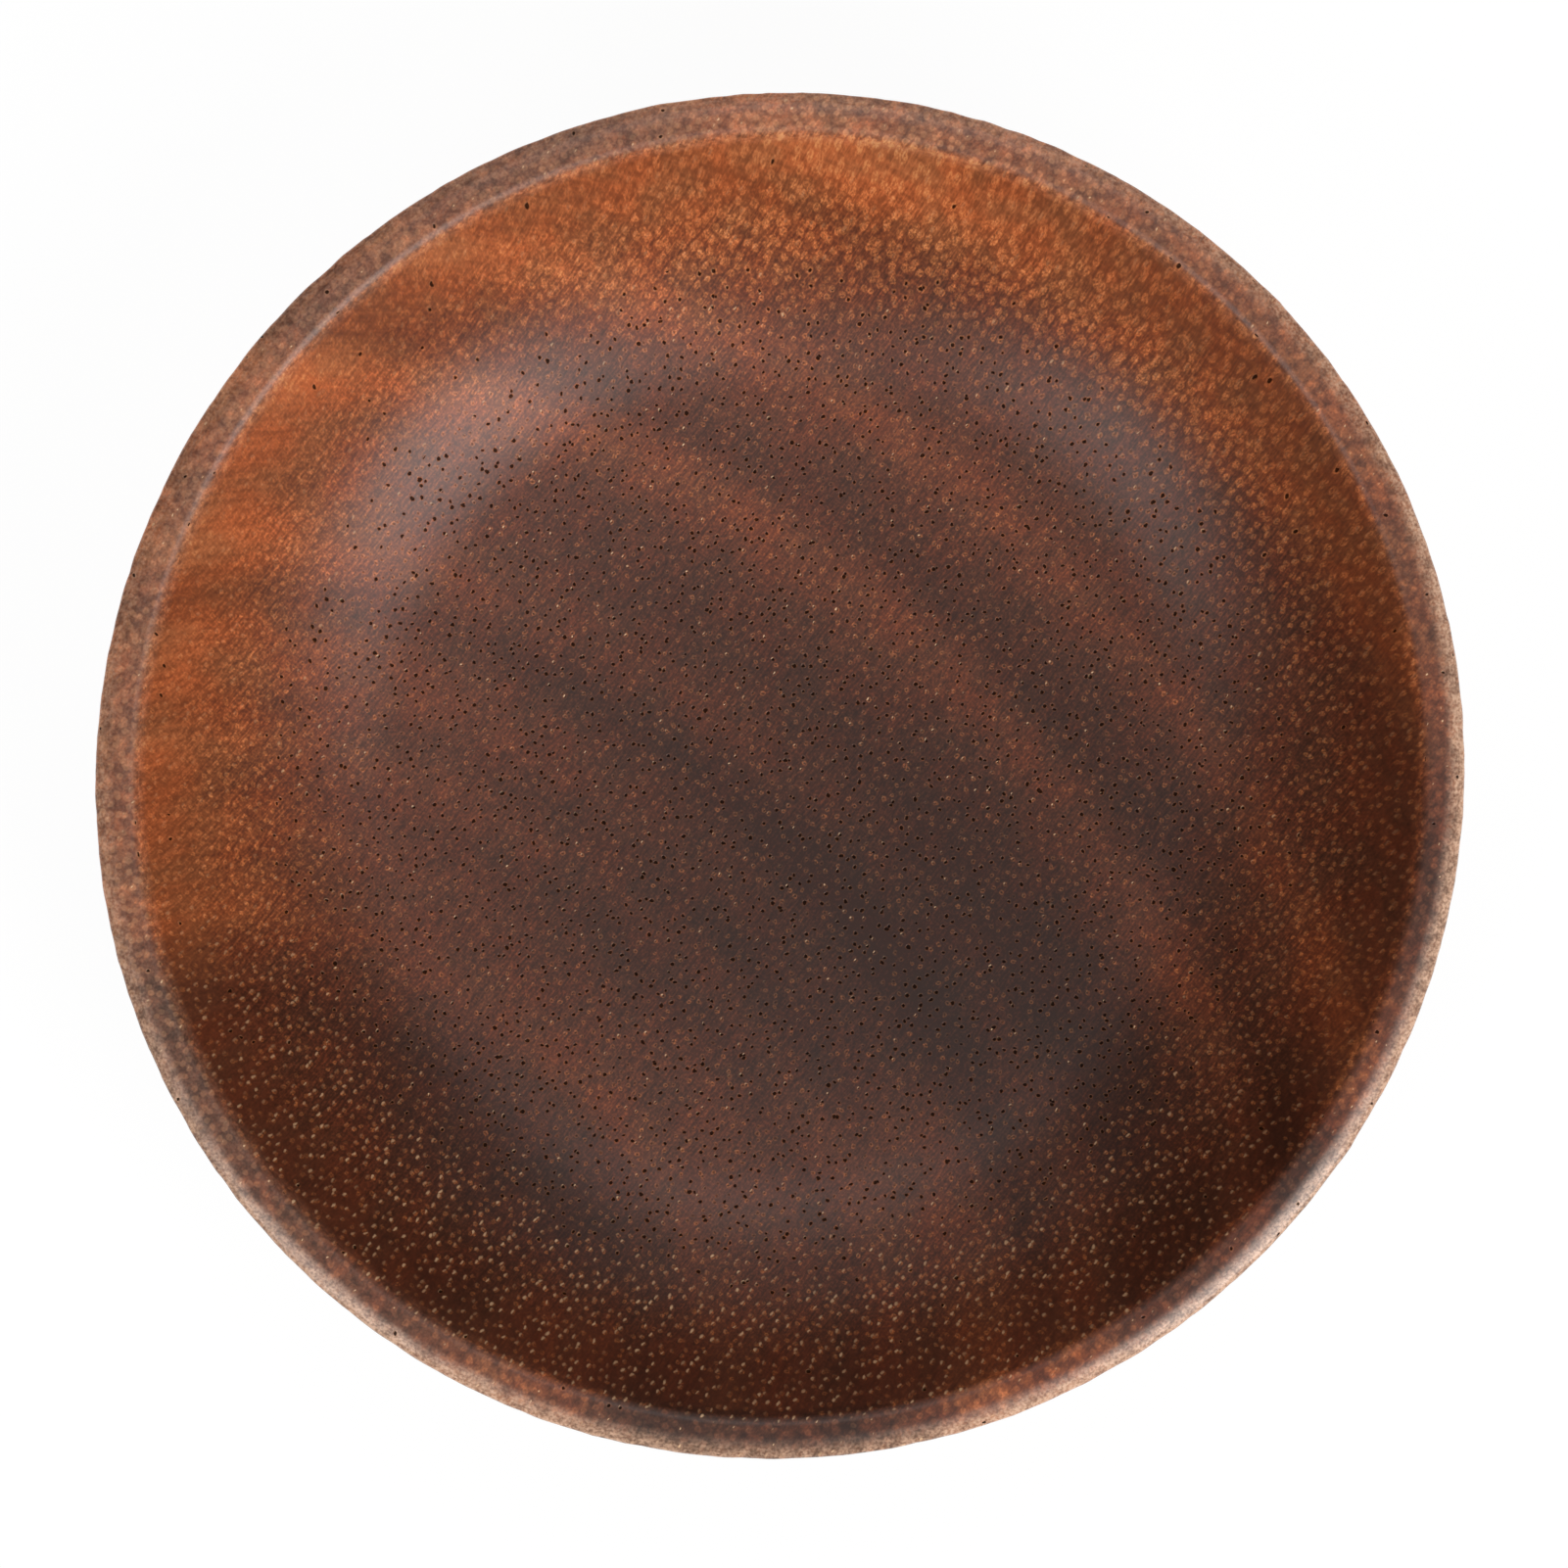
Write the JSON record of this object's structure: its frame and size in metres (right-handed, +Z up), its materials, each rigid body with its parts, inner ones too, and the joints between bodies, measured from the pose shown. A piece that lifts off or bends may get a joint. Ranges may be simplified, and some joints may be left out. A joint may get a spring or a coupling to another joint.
{
  "type": "wooden dipping bowl",
  "caption": "Small round dipping bowl turned from one piece of dark acacia, with a crowned rim, a coved wall and a shallow dished floor.",
  "frame": {"origin": "middle of the foot, on the table that the bowl stands on", "axes": "+Z up through the open mouth; +X and +Y level, to the right and to the top of the picture"},
  "size_m": [0.09, 0.09, 0.025],
  "materials": {
    "acacia": "turned, sanded and oiled to a satin sheen"
  },
  "bodies": {
    "root": {"turned_bowl": "acacia"}
  },
  "joints": []
}
